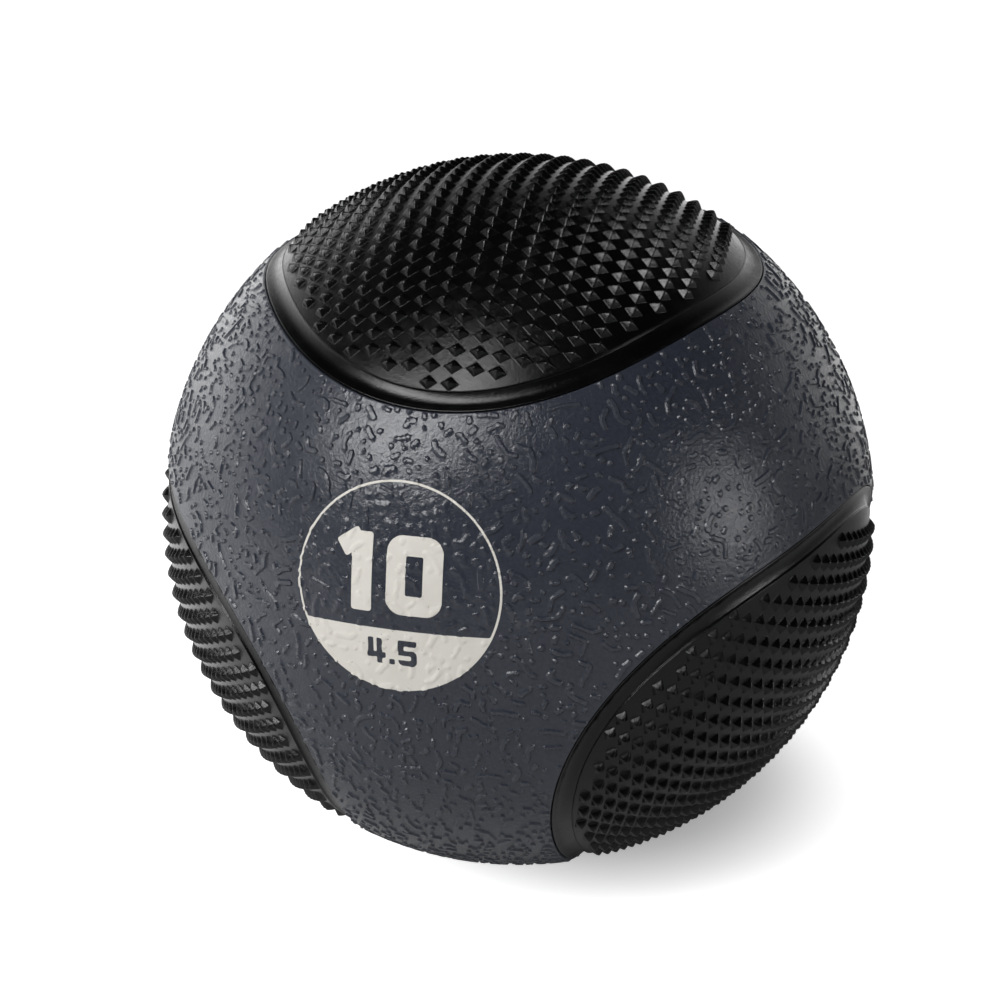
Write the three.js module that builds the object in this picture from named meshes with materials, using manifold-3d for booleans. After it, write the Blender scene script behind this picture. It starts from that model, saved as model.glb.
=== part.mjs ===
// A 9 inch rubber medicine ball. The grey cover is one web with four rounded-triangle windows, set out
// as a regular tetrahedron, and a black grip panel sits in each window. Under them are a heavy rubber
// wall in two halves, a nylon winding and an air bladder with its needle valve.
//
// Millimetres, +Z up. The origin is the ball's centre, and the ball stands on a small flattened patch.
import * as THREE from "three";
import { mergeVertices } from "three/addons/utils/BufferGeometryUtils.js";
import Module from "manifold-3d";

// Overall size.
const BALL_DIAMETER = 228.6;
const BALL_RADIUS = BALL_DIAMETER / 2;
const CONTACT_PATCH_RADIUS = 12;

// Clearances: between pieces with matching facets, and between pieces whose facets differ.
const GAP = 0.3;
const WIDE_GAP = 0.6;
const FLANGE_GAP = 0.9;

// Wall, from the outside in.
const COVER_THICKNESS = 4.2;
const WEIGHT_THICKNESS = 24;
const WINDING_THICKNESS = 1.2;
const BLADDER_THICKNESS = 1.9;

// Grip panels: the outline's angular reach from the panel's centre, longer towards its three corners.
const PANEL_REACH = THREE.MathUtils.degToRad(40.67);
const PANEL_CORNER_REACH = THREE.MathUtils.degToRad(2.43);
// The rim is a smooth hollow between the outline and the field of studs. Shares are of its width.
const RIM_WIDTH = 6;
const RIM_DEPTH = 1.6;
const RIM_LIP_DEPTH = 0.5;
const RIM_STEP_DEPTH = 0.8;
const RIM_FLOOR_START = 0.35;
const RIM_FLOOR_END = 0.65;
const RIM_STEP_AT = 0.97;
const WINDOW_CUTTER_OVERRUN = 12;

// How the ball lies: the top panel's axis leans from vertical, and the ball is spun about that axis.
const LEAN = THREE.MathUtils.degToRad(14.7);
const LEAN_HEADING = THREE.MathUtils.degToRad(-100);
const SPIN = THREE.MathUtils.degToRad(-63.9);

// Valve, on the axis of the grey node opposite the right-hand panel.
const HOUSING_RADIUS = 6;
const HOUSING_RECESS = 0.6;
const HOUSING_BORE_RADIUS = 3.2;
const HOUSING_CHAMFER = 0.5;
const FLANGE_RADIUS = 16;
const FLANGE_THICKNESS = 1.6;
const FLANGE_STEPS = 3;
const PLUG_HEAD_RADIUS = 4.3;
const PLUG_HEAD_HEIGHT = 1.8;
const PLUG_HEAD_CHAMFER = 0.4;
const PLUG_BULB_RADIUS = 4.2;
const PLUG_BULB_TIP_RADIUS = 2.5;
const PLUG_BULB_HEIGHT = 3.2;
const NEEDLE_CHANNEL_RADIUS = 0.8;
const NEEDLE_MOUTH_RADIUS = 1.8;
const NEEDLE_MOUTH_DEPTH = 1.2;
const NEEDLE_CHANNEL_END = 6;

// Facets.
const COVER_SEGMENTS = 48;
const COVER_RINGS = 24;
const PANEL_SEGMENTS = 36;
const PANEL_RINGS = 5;
const CORE_SEGMENTS = 24;
const CORE_RINGS = 12;
const VALVE_SEGMENTS = 18;

const coverInner = BALL_RADIUS - COVER_THICKNESS;
const weightOuter = coverInner - WIDE_GAP;
const weightInner = weightOuter - WEIGHT_THICKNESS;
const windingOuter = weightInner - GAP;
const windingInner = windingOuter - WINDING_THICKNESS;
const bladderOuter = windingInner - GAP;
const bladderInner = bladderOuter - BLADDER_THICKNESS;
const boreRadius = HOUSING_RADIUS + GAP;
const flangeTop = bladderInner - FLANGE_GAP;
const flangeBottom = flangeTop - FLANGE_THICKNESS;
const valveTop = BALL_RADIUS - HOUSING_RECESS;
const seamHalfAngle = GAP / 2 / BALL_RADIUS;

const wasm = await Module();
wasm.setup();

// ---------------------------------------------------------------- shapes

// Points along a circle about the centre, by angle from the pole, as (distance from axis, height).
function arc(radius, from, to, steps) {
  const points = [];
  for (let i = 0; i <= steps; i++) {
    const angle = from + ((to - from) * i) / steps;
    points.push(new THREE.Vector2(radius * Math.sin(angle), radius * Math.cos(angle)));
  }
  return points;
}

function polar(radius, angle) {
  return new THREE.Vector2(radius * Math.sin(angle), radius * Math.cos(angle));
}

// A profile turned about +Z, with its shared vertices merged.
function turned(profile, segments) {
  const geometry = new THREE.LatheGeometry(profile, segments);
  geometry.rotateX(Math.PI / 2);
  geometry.deleteAttribute("normal");
  geometry.deleteAttribute("uv");
  return mergeVertices(geometry, 1e-3);
}

// Where the valve's bore meets a sphere, as an angle from the pole.
function boreAngle(radius) {
  return Math.asin(boreRadius / radius);
}

// From the far pole over the equator to the edge of the bore. The equator always has a ring, so that
// nested shells have matching facets.
function boredArc(radius, rings) {
  const equator = Math.PI / 2;
  const lower = arc(radius, Math.PI, equator, rings / 2);
  const upper = arc(radius, equator, boreAngle(radius), rings / 2);
  return [...lower, ...upper.slice(1)];
}

// A spherical shell whose wall is pierced by the valve's bore along +Z.
function boredShell(outer, inner, segments, rings) {
  return turned([...boredArc(outer, rings), ...boredArc(inner, rings).reverse()], segments);
}

// Half of the weight shell: the valve half is pierced by the bore, the plain half is closed.
function weightHalf(hasBore) {
  const rings = CORE_RINGS / 2;
  const joint = GAP / 2;
  if (hasBore) {
    const profile = [
      ...arc(weightOuter, Math.acos(joint / weightOuter), boreAngle(weightOuter), rings),
      ...arc(weightInner, boreAngle(weightInner), Math.acos(joint / weightInner), rings),
    ];
    profile.push(profile[0].clone());
    return turned(profile, CORE_SEGMENTS);
  }
  const profile = [
    ...arc(weightOuter, Math.PI, Math.acos(-joint / weightOuter), rings),
    ...arc(weightInner, Math.acos(-joint / weightInner), Math.PI, rings),
  ];
  return turned(profile, CORE_SEGMENTS);
}

// Stretches a round cap about +Z into the panel's rounded triangle: its sides, towards the
// neighbouring panels, are drawn in and its corners are drawn out, and the rim keeps its width.
function triangulateOutline(geometry) {
  const rimInner = PANEL_REACH - RIM_WIDTH / BALL_RADIUS;
  const position = geometry.getAttribute("position");
  const point = new THREE.Vector3();
  for (let i = 0; i < position.count; i++) {
    point.fromBufferAttribute(position, i);
    const radius = point.length();
    const angle = Math.acos(point.z / radius);
    const around = Math.atan2(point.y, point.x);
    const share = Math.min(1, angle / rimInner) ** 2;
    const stretched = angle - PANEL_CORNER_REACH * Math.cos(3 * around) * share;
    const across = radius * Math.sin(stretched);
    position.setXYZ(
      i,
      across * Math.cos(around),
      across * Math.sin(around),
      radius * Math.cos(stretched),
    );
  }
  return geometry;
}

// A grip panel about +Z: a domed pad with a hollow rim round its field of studs.
function gripPanel() {
  const edge = PANEL_REACH - seamHalfAngle;
  const acrossRim = (share) => edge - (share * RIM_WIDTH) / BALL_RADIUS;
  const profile = [
    ...arc(coverInner, 0, edge, PANEL_RINGS),
    polar(BALL_RADIUS - RIM_LIP_DEPTH, edge),
    polar(BALL_RADIUS - RIM_DEPTH, acrossRim(RIM_FLOOR_START)),
    polar(BALL_RADIUS - RIM_DEPTH, acrossRim(RIM_FLOOR_END)),
    polar(BALL_RADIUS - RIM_STEP_DEPTH, acrossRim(RIM_STEP_AT)),
    ...arc(BALL_RADIUS, acrossRim(1), 0, PANEL_RINGS),
  ];
  return triangulateOutline(turned(profile, PANEL_SEGMENTS));
}

// The space that a window takes out of the cover, about +Z.
function windowCutter() {
  const edge = PANEL_REACH + seamHalfAngle;
  const profile = [
    ...arc(coverInner - WINDOW_CUTTER_OVERRUN, 0, edge, PANEL_RINGS),
    ...arc(BALL_RADIUS + WINDOW_CUTTER_OVERRUN, edge, 0, PANEL_RINGS),
  ];
  return triangulateOutline(turned(profile, PANEL_SEGMENTS));
}

// The rubber tube through the wall, with its flange inside the bladder.
function valveHousing() {
  const flangeEdge = FLANGE_RADIUS / flangeTop;
  const tubeAngle = Math.asin(HOUSING_RADIUS / flangeTop);
  const holeAngle = Math.asin(HOUSING_BORE_RADIUS / flangeBottom);
  const seat = valveTop - PLUG_HEAD_HEIGHT - GAP;
  const seatRadius = PLUG_HEAD_RADIUS + GAP;
  const profile = [
    ...arc(flangeBottom, holeAngle, flangeEdge, FLANGE_STEPS),
    ...arc(flangeTop, flangeEdge, tubeAngle, FLANGE_STEPS),
    new THREE.Vector2(HOUSING_RADIUS, valveTop - HOUSING_CHAMFER),
    new THREE.Vector2(HOUSING_RADIUS - HOUSING_CHAMFER, valveTop),
    new THREE.Vector2(seatRadius, valveTop),
    new THREE.Vector2(seatRadius, seat),
    new THREE.Vector2(HOUSING_BORE_RADIUS, seat),
  ];
  profile.push(profile[0].clone());
  return turned(profile, VALVE_SEGMENTS);
}

// The self-sealing plug: a head, a shank and a bulb that holds it, with a blind needle channel.
function valveCore() {
  const headBottom = valveTop - PLUG_HEAD_HEIGHT;
  const shankRadius = HOUSING_BORE_RADIUS - GAP;
  const shankBottom = flangeBottom - GAP;
  const bulbBottom = shankBottom - PLUG_BULB_HEIGHT;
  const profile = [
    new THREE.Vector2(0, bulbBottom),
    new THREE.Vector2(PLUG_BULB_TIP_RADIUS, bulbBottom),
    new THREE.Vector2(PLUG_BULB_RADIUS, bulbBottom + PLUG_BULB_HEIGHT / 2),
    new THREE.Vector2(PLUG_BULB_RADIUS, shankBottom),
    new THREE.Vector2(shankRadius, shankBottom),
    new THREE.Vector2(shankRadius, headBottom),
    new THREE.Vector2(PLUG_HEAD_RADIUS, headBottom),
    new THREE.Vector2(PLUG_HEAD_RADIUS, valveTop - PLUG_HEAD_CHAMFER),
    new THREE.Vector2(PLUG_HEAD_RADIUS - PLUG_HEAD_CHAMFER, valveTop),
    new THREE.Vector2(NEEDLE_MOUTH_RADIUS, valveTop),
    new THREE.Vector2(NEEDLE_CHANNEL_RADIUS, valveTop - NEEDLE_MOUTH_DEPTH),
    new THREE.Vector2(NEEDLE_CHANNEL_RADIUS, bulbBottom + NEEDLE_CHANNEL_END),
    new THREE.Vector2(0, bulbBottom + NEEDLE_CHANNEL_END),
  ];
  return turned(profile, VALVE_SEGMENTS);
}

// ---------------------------------------------------------------- placing

const UP = new THREE.Vector3(0, 0, 1);

// Panel centres in the ball's own frame, whose +Z is the top panel's axis.
// The other three stand at the tetrahedral angle from it, evenly around.
function lowerCentre(index) {
  const fromTop = Math.acos(-1 / 3);
  const heading = (index * 2 * Math.PI) / 3;
  return new THREE.Vector3(
    Math.sin(fromTop) * Math.cos(heading),
    Math.sin(fromTop) * Math.sin(heading),
    Math.cos(fromTop),
  );
}

const centres = {
  top: UP.clone(),
  left: lowerCentre(0),
  right: lowerCentre(1),
  back: lowerCentre(2),
};

// The turn that takes +Z to a panel's centre and +X towards one of its neighbours.
function panelTurn(centre, towards) {
  const x = towards.clone().addScaledVector(centre, -centre.dot(towards)).normalize();
  const y = centre.clone().cross(x);
  return new THREE.Quaternion().setFromRotationMatrix(new THREE.Matrix4().makeBasis(x, y, centre));
}

const panelTurns = {};
for (const [name, centre] of Object.entries(centres)) {
  panelTurns[name] = panelTurn(centre, name === "top" ? centres.left : centres.top);
}

const ballTurn = new THREE.Quaternion()
  .setFromAxisAngle(UP, LEAN_HEADING)
  .multiply(new THREE.Quaternion().setFromAxisAngle(new THREE.Vector3(0, 1, 0), LEAN))
  .multiply(new THREE.Quaternion().setFromAxisAngle(UP, SPIN));
const valveTurn = new THREE.Quaternion().setFromUnitVectors(UP, centres.right.clone().negate());

// ---------------------------------------------------------------- booleans

function solidOf(geometry) {
  return new wasm.Manifold(
    new wasm.Mesh({
      numProp: 3,
      vertProperties: new Float32Array(geometry.getAttribute("position").array),
      triVerts: new Uint32Array(geometry.index.array),
    }),
  );
}

function geometryOf(solid) {
  const mesh = solid.getMesh();
  const geometry = new THREE.BufferGeometry();
  const stride = mesh.numProp;
  const vertices = new Float32Array(mesh.numVert * 3);
  for (let i = 0; i < mesh.numVert; i++) {
    vertices.set(mesh.vertProperties.subarray(i * stride, i * stride + 3), i * 3);
  }
  geometry.setAttribute("position", new THREE.BufferAttribute(vertices, 3));
  geometry.setIndex(new THREE.BufferAttribute(new Uint32Array(mesh.triVerts), 1));
  geometry.computeVertexNormals();
  return geometry;
}

// The cover, in the part's own frame: a bored shell, less the four windows and the flattened patch.
function coverWeb() {
  const shell = boredShell(BALL_RADIUS, coverInner, COVER_SEGMENTS, COVER_RINGS);
  shell.applyQuaternion(ballTurn.clone().multiply(valveTurn));
  let solid = solidOf(shell);
  for (const turn of Object.values(panelTurns)) {
    const cutter = windowCutter().applyQuaternion(ballTurn.clone().multiply(turn));
    solid = solid.subtract(solidOf(cutter));
  }
  const patchHeight = Math.sqrt(BALL_RADIUS ** 2 - CONTACT_PATCH_RADIUS ** 2);
  const block = new THREE.BoxGeometry(BALL_DIAMETER, BALL_DIAMETER, BALL_DIAMETER);
  block.translate(0, 0, -patchHeight - BALL_RADIUS);
  block.deleteAttribute("normal");
  block.deleteAttribute("uv");
  return geometryOf(solid.subtract(solidOf(mergeVertices(block, 1e-3))));
}

// ---------------------------------------------------------------- the ball

function rubber(color, roughness) {
  return new THREE.MeshStandardMaterial({ color, roughness, metalness: 0 });
}

function piece(name, geometry, material) {
  const mesh = new THREE.Mesh(geometry, material);
  mesh.name = name;
  return mesh;
}

const part = new THREE.Group();
part.add(piece("cover_web", coverWeb(), rubber(0x41454d, 0.5)));

const ball = new THREE.Group();
ball.quaternion.copy(ballTurn);
part.add(ball);

for (const [name, turn] of Object.entries(panelTurns)) {
  const panel = piece("grip_panel_" + name, gripPanel(), rubber(0x141415, 0.55));
  panel.quaternion.copy(turn);
  ball.add(panel);
}

const core = new THREE.Group();
core.quaternion.copy(valveTurn);
ball.add(core);

core.add(piece("weight_shell_valve_half", weightHalf(true), rubber(0x2b2b2d, 0.8)));
core.add(piece("weight_shell_plain_half", weightHalf(false), rubber(0x2b2b2d, 0.8)));

const winding = boredShell(windingOuter, windingInner, CORE_SEGMENTS, CORE_RINGS);
core.add(piece("nylon_winding", winding, rubber(0xd9d3c5, 0.7)));

const bladder = boredShell(bladderOuter, bladderInner, CORE_SEGMENTS, CORE_RINGS);
core.add(piece("bladder", bladder, rubber(0x1c1c1e, 0.6)));

core.add(piece("valve_housing", valveHousing(), rubber(0x1a1a1c, 0.6)));
core.add(piece("valve_core", valveCore(), rubber(0x8d7648, 0.6)));

export default part;
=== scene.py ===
"""A rubber medicine ball: a textured grey cover, four black studded panels and a printed badge.

Metres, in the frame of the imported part: +Z up, -Y towards the viewer, and the origin at the
ball's centre. The cover and the panels are built as meshes over the sphere. Their axes, the
ball's radius, the floor and the valve all come from the frame.
"""

import math
import random

import bmesh
import bpy
import numpy as np
from mathutils import Matrix, Vector
from mathutils.kdtree import KDTree


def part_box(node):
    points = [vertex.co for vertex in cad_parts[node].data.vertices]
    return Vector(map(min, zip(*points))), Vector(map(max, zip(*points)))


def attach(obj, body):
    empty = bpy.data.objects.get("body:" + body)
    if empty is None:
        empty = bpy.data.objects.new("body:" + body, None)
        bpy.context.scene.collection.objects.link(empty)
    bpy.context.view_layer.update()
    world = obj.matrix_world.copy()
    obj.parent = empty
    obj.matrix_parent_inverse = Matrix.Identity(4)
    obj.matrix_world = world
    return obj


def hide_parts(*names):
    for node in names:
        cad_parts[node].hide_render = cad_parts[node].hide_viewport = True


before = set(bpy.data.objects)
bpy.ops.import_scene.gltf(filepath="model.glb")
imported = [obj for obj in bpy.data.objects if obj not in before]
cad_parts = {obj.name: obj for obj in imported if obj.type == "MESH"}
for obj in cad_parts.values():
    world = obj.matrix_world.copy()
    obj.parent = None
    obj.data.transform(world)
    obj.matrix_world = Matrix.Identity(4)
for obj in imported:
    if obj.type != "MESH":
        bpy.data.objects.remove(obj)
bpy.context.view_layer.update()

MM = 0.001
DEG = math.pi / 180
FULL_TURN = 2 * math.pi
THIRD_TURN = 120 * DEG
# The angle between two of a regular tetrahedron's axes.
TETRAHEDRAL = math.acos(-1 / 3)


# ---------------------------------------------------------------- what the frame says


def mesh_points(mesh):
    """The corners of a mesh, one row each."""
    points = np.empty(len(mesh.vertices) * 3)
    mesh.vertices.foreach_get("co", points)
    return points.reshape(-1, 3)


def node_points(name):
    """The corners of a CAD node, one row each."""
    return mesh_points(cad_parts[name].data)


def unit(v):
    v = np.asarray(v, float)
    return v / np.linalg.norm(v)


COVER_POINTS = node_points("cover_web")
BALL = np.linalg.norm(COVER_POINTS, axis=1).max()
COVER_INNER = np.linalg.norm(COVER_POINTS, axis=1).min()
FLOOR_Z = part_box("cover_web")[0].z
VALVE_AXIS = unit(node_points("valve_housing").mean(0))


def tetrahedron():
    """The four panel axes as an exact regular tetrahedron, from the top and left CAD panels."""
    up = unit(node_points("grip_panel_top").mean(0))
    side = node_points("grip_panel_left").mean(0)
    side = unit(side - up * (side @ up))
    across = np.cross(up, side)
    axes = {"top": up}
    for name in ("left", "right", "back"):
        seen = node_points("grip_panel_" + name).mean(0)
        heading = round(math.atan2(seen @ across, seen @ side) / THIRD_TURN) * THIRD_TURN
        flat = math.cos(heading) * side + math.sin(heading) * across
        axes[name] = math.cos(TETRAHEDRAL) * up + math.sin(TETRAHEDRAL) * flat
    return axes


def basis(axis, towards):
    """Rows x, y, z of a frame on the sphere: z along the axis, x towards a neighbour."""
    x = unit(towards - axis * (axis @ towards))
    return np.array([x, np.cross(axis, x), axis])


AXES = tetrahedron()
# Each panel's x points at one neighbour: at the back one, for the three panels in view.
PANEL_FRAMES = {
    name: basis(axis, AXES["top" if name == "back" else "back"]) for name, axis in AXES.items()
}

# A panel's outline: its mean angle from the panel's axis, and how far its three corners pass that.
PANEL_REACH = 40.67 * DEG
PANEL_CORNER_REACH = 2.43 * DEG
# The gap between a panel and the cover.
SEAM_GAP = 0.3 * MM


def reach(around):
    """The angle from a panel's axis to its outline, at a heading round that axis."""
    return PANEL_REACH - PANEL_CORNER_REACH * np.cos(3 * around)


# ---------------------------------------------------------------- mesh helpers


def on_sphere(rows, angle, around, radius):
    """Points at an angle from a frame's z and a heading around it."""
    across = np.sin(angle)
    local = np.stack(
        [across * np.cos(around), across * np.sin(around), np.cos(angle)], axis=-1
    )
    return (local @ rows) * np.asarray(radius)[..., None]


def new_mesh(name, points, face_lists):
    """A mesh from an array of points and arrays of faces, each array with one number of corners."""
    mesh = bpy.data.meshes.new(name)
    mesh.vertices.add(len(points))
    mesh.vertices.foreach_set("co", np.asarray(points, np.float32).ravel())
    face_lists = [np.asarray(f, np.int32) for f in face_lists if len(f)]
    corners = np.concatenate([f.ravel() for f in face_lists])
    sizes = np.concatenate([np.full(len(f), f.shape[1], np.int32) for f in face_lists])
    starts = np.concatenate([[0], np.cumsum(sizes)[:-1]]).astype(np.int32)
    mesh.loops.add(len(corners))
    mesh.loops.foreach_set("vertex_index", corners)
    mesh.polygons.add(len(sizes))
    mesh.polygons.foreach_set("loop_start", starts)
    mesh.update(calc_edges=True)
    mesh.validate()
    return mesh


def add_object(name, data):
    """A new object in the scene."""
    obj = bpy.data.objects.new(name, data)
    bpy.context.scene.collection.objects.link(obj)
    return obj


def new_object(name, mesh, material):
    """A new piece, with its material."""
    obj = add_object(name, mesh)
    mesh.materials.append(material)
    return obj


def shade(obj, sharp_degrees):
    """Smooth shading, apart from edges that bend more than an angle."""
    obj.data.shade_smooth()
    obj.data.set_sharp_from_angle(angle=sharp_degrees * DEG)


WELD_STEP = 1e-7


def weld(points, faces):
    """Merges points that share a place, and renumbers the faces."""
    keys = np.round(points / WELD_STEP).astype(np.int64)
    _, first, back = np.unique(keys, axis=0, return_index=True, return_inverse=True)
    back = back.reshape(-1)
    return points[first], [back[f] for f in faces]


def apply_modifiers(obj):
    """Replaces the object's mesh with its evaluated one."""
    graph = bpy.context.evaluated_depsgraph_get()
    mesh = bpy.data.meshes.new_from_object(obj.evaluated_get(graph), depsgraph=graph)
    old = obj.data
    obj.modifiers.clear()
    obj.data = mesh
    bpy.data.meshes.remove(old)


def smoothstep(x):
    x = np.clip(x, 0, 1)
    return x * x * (3 - 2 * x)


def seam_distance(points):
    """How far points lie outside the nearest panel's outline, along the sphere, in metres."""
    directions = points / np.linalg.norm(points, axis=-1, keepdims=True)
    nearest = np.full(directions.shape[:-1], np.inf)
    for rows in PANEL_FRAMES.values():
        local = directions @ rows.T
        angle = np.arccos(np.clip(local[..., 2], -1, 1))
        around = np.arctan2(local[..., 1], local[..., 0])
        nearest = np.minimum(nearest, (angle - reach(around)) * BALL)
    return nearest


# Where the badge is printed, on the cover between the top, left and right panels.
BADGE_HEADING = -106.5 * DEG
BADGE_ELEVATION = 8.75 * DEG
BADGE_RADIUS = 28.4 * MM
BADGE_CENTRE = np.array(
    [
        math.cos(BADGE_ELEVATION) * math.cos(BADGE_HEADING),
        math.cos(BADGE_ELEVATION) * math.sin(BADGE_HEADING),
        math.sin(BADGE_ELEVATION),
    ]
)


# ---------------------------------------------------------------- the moulded texture

MARK_HEIGHT = 0.47 * MM
MARK_SLOPE = 0.34 * MM
MARK_STEP = 0.45 * MM
MARK_CLEARANCE = 2.2 * MM
MARK_TRIES = 30000
MARK_SEED = 7
# The ranges that a mark's half width and length are drawn from, in mm.
MARK_RADII = (0.48, 0.80)
MARK_LENGTHS = (1.4, 9.0)
MARK_SEAM_MARGIN = 0.9 * MM
# Height of the marks under the badge, as a share of their height elsewhere.
MARK_BADGE_HEIGHT = 0.55
MARK_BADGE_MARGIN = 2 * MM
MARK_BADGE_FADE = 4 * MM
# Marks start clear of the valve's ring.
VALVE_BOSS_RADIUS = 10 * MM
# A draw below DOTS makes a dot, one over BENT adds a sharp turn, and one over FORKED a branch.
DOTS, BENT, FORKED = 0.25, 0.55, 0.80
TURN_STEPS = (3, 8)
TURN_ANGLES = (0.7, 1.3)
LINE_BEND = 0.26
BRANCH_BEND = 0.2
BRANCH_LENGTH = 2.8 * MM
BRANCH_POINTS = 6
# How a line wanders: the drift's change per step, as a share of its bend, and what is kept of it.
DRIFT_CHANGE = 0.5
DRIFT_KEPT = 0.8
# A walk may pass near its own points, and near this many of its mark's last ones before it.
OWN_POINTS = 5
# The pole that the marks' first headings are measured against.
SPIN_POLE = (0.3, 0.2, 0.93)
# Mesh points this near a mark's foot or brow are moved on to it.
SNAP_REACH = 0.24 * MM


class Marks:
    """Raised worm-shaped marks and dots, grown over the grey cover one at a time."""

    def __init__(self, seed):
        self.random = random.Random(seed)
        self.points = []
        self.radii = []
        self.owners = []
        self.cells = {}
        self.grow()

    def cell(self, p):
        """The key of the cube of space that holds a point."""
        size = MARK_CLEARANCE
        return (math.floor(p[0] / size), math.floor(p[1] / size), math.floor(p[2] / size))

    def is_free(self, p, owner, recent):
        """Whether a point keeps its clearance from other marks and from this one's older points."""
        cx, cy, cz = self.cell(p)
        for x in (cx - 1, cx, cx + 1):
            for y in (cy - 1, cy, cy + 1):
                for z in (cz - 1, cz, cz + 1):
                    for i in self.cells.get((x, y, z), ()):
                        if self.owners[i] == owner and i >= recent:
                            continue
                        q = self.points[i]
                        d = (p[0] - q[0]) ** 2 + (p[1] - q[1]) ** 2 + (p[2] - q[2]) ** 2
                        if d < MARK_CLEARANCE**2:
                            return False
        return True

    def add(self, p, radius, owner):
        self.cells.setdefault(self.cell(p), []).append(len(self.points))
        self.points.append(p)
        self.radii.append(radius)
        self.owners.append(owner)

    def walk(self, start, heading, length, radius, owner, bend, turn_at):
        """Adds points along a wandering line, until it is long enough or has no room."""
        p = start
        first = len(self.points)
        steps = int(length / MARK_STEP)
        drift = self.random.uniform(-1, 1) * bend
        for step in range(steps):
            drift += self.random.uniform(-DRIFT_CHANGE, DRIFT_CHANGE) * bend
            drift *= DRIFT_KEPT
            turn = drift
            if step == turn_at:
                turn += self.random.choice((-1, 1)) * self.random.uniform(*TURN_ANGLES)
            normal = p / BALL
            side = np.cross(normal, heading)
            heading = math.cos(turn) * heading + math.sin(turn) * side
            q = p + heading * MARK_STEP
            q = q * (BALL / math.sqrt(q @ q))
            if not self.has_ground(q) or not self.is_free(q, owner, first - OWN_POINTS):
                break
            heading = heading - (q / BALL) * (heading @ q) / BALL
            heading = heading / math.sqrt(heading @ heading)
            self.add(q, radius, owner)
            p = q

    def has_ground(self, p):
        """Whether a point lies on the cover, clear of the panels and the valve."""
        if seam_distance(p) < MARK_SEAM_MARGIN:
            return False
        return np.linalg.norm(p - VALVE_AXIS * BALL) > VALVE_BOSS_RADIUS

    def grow(self):
        draw = self.random
        for owner in range(MARK_TRIES):
            z = draw.uniform(-1, 1)
            heading = draw.uniform(0, FULL_TURN)
            flat = math.sqrt(1 - z * z)
            p = BALL * np.array([flat * math.cos(heading), flat * math.sin(heading), z])
            radius = draw.uniform(*MARK_RADII) * MM
            kind = draw.random()
            spin = draw.uniform(0, FULL_TURN)
            length = draw.uniform(*MARK_LENGTHS) * MM
            if not self.is_free(p, owner, math.inf) or not self.has_ground(p):
                continue
            normal = p / BALL
            east = unit(np.cross(SPIN_POLE, normal))
            heading = math.cos(spin) * east + math.sin(spin) * np.cross(normal, east)
            begin = len(self.points)
            self.add(p, radius, owner)
            if kind < DOTS:
                continue
            turn_at = draw.randint(*TURN_STEPS) if kind > BENT else -1
            self.walk(p, heading, length, radius, owner, LINE_BEND, turn_at)
            if kind > FORKED and len(self.points) - begin > BRANCH_POINTS:
                middle = self.points[(begin + len(self.points)) // 2]
                out = np.cross(middle / BALL, heading) * draw.choice((-1, 1))
                self.walk(middle, unit(out), BRANCH_LENGTH, radius, owner, BRANCH_BEND, -1)


marks = Marks(MARK_SEED)
mark_tree = KDTree(len(marks.points))
for i, p in enumerate(marks.points):
    mark_tree.insert(p, i)
mark_tree.balance()


def mark_edges(points):
    """How far points of the sphere lie outside the nearest mark's outline, and the way out."""
    outside = np.empty(len(points))
    centres = np.empty((len(points), 3))
    radii = marks.radii
    find = mark_tree.find
    for i, p in enumerate(points.tolist()):
        nearest_point, nearest, distance = find(p)
        outside[i] = distance - radii[nearest]
        centres[i] = nearest_point
    out = points - centres
    return outside, out / np.maximum(np.linalg.norm(out, axis=1, keepdims=True), 1e-9)


def mark_height(points, outside):
    """Height of the moulded marks over the smooth cover. They are lower under the badge."""
    share = np.clip(0.5 - outside / MARK_SLOPE, 0, 1)
    from_badge = np.linalg.norm(points - BADGE_CENTRE * BALL, axis=1)
    lower = smoothstep((BADGE_RADIUS + MARK_BADGE_MARGIN - from_badge) / MARK_BADGE_FADE)
    return MARK_HEIGHT * share * (1 - (1 - MARK_BADGE_HEIGHT) * lower)


def snap_to_marks(points, movable):
    """Moves points near a mark's foot or brow on to it, so that the mesh follows its outline."""
    outside, out = mark_edges(points)
    foot = np.where(outside > 0, MARK_SLOPE / 2, -MARK_SLOPE / 2)
    step = foot - outside
    close = movable & (np.abs(step) < SNAP_REACH)
    points[close] += out[close] * step[close][:, None]
    points[close] *= BALL / np.linalg.norm(points[close], axis=1, keepdims=True)
    outside[close] = foot[close]
    return points, outside


# ---------------------------------------------------------------- the grey cover

# The cover's mesh: points round a panel, rows out from it and on the inside, and triangles kept.
WEB_AROUND = 1260
WEB_ROWS = 96
WEB_INNER_ROWS = 5
WEB_FACES = 520000
# Over this distance from the seam the marks rise to their height.
MARK_FADE = 0.5 * MM
WEB_SHARP = 30
# The least angle from a panel's axis to the line halfway to a neighbour.
CELL_INRADIUS = TETRAHEDRAL / 2
HOLE_SEGMENTS = 64
HOLE_DEPTH = 20 * MM

# The rounded edge along the seam: distance from the seam and height, in mm.
BEAD = np.array([(0.0, -0.42), (0.08, -0.20), (0.2, -0.03), (0.38, 0.05), (0.6, 0.05), (0.9, 0.0)])
# Points past the bead may move. The margin keeps the bead's own last row still.
BEAD_CLEAR = BEAD[-1, 0] * MM * 1.01
# The low ring round the valve: distance from its axis and height, in mm.
BOSS = np.array([(6.3, -0.5), (6.6, 0.1), (7.2, 0.35), (8.6, 0.35), (9.4, 0.08), (9.8, 0.0)])


def cell_edge(around):
    """Angle from a panel's axis to the line halfway to its nearest neighbour."""
    folded = (around + THIRD_TURN / 2) % THIRD_TURN - THIRD_TURN / 2
    return np.arctan(math.tan(CELL_INRADIUS) / np.cos(folded))


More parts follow.
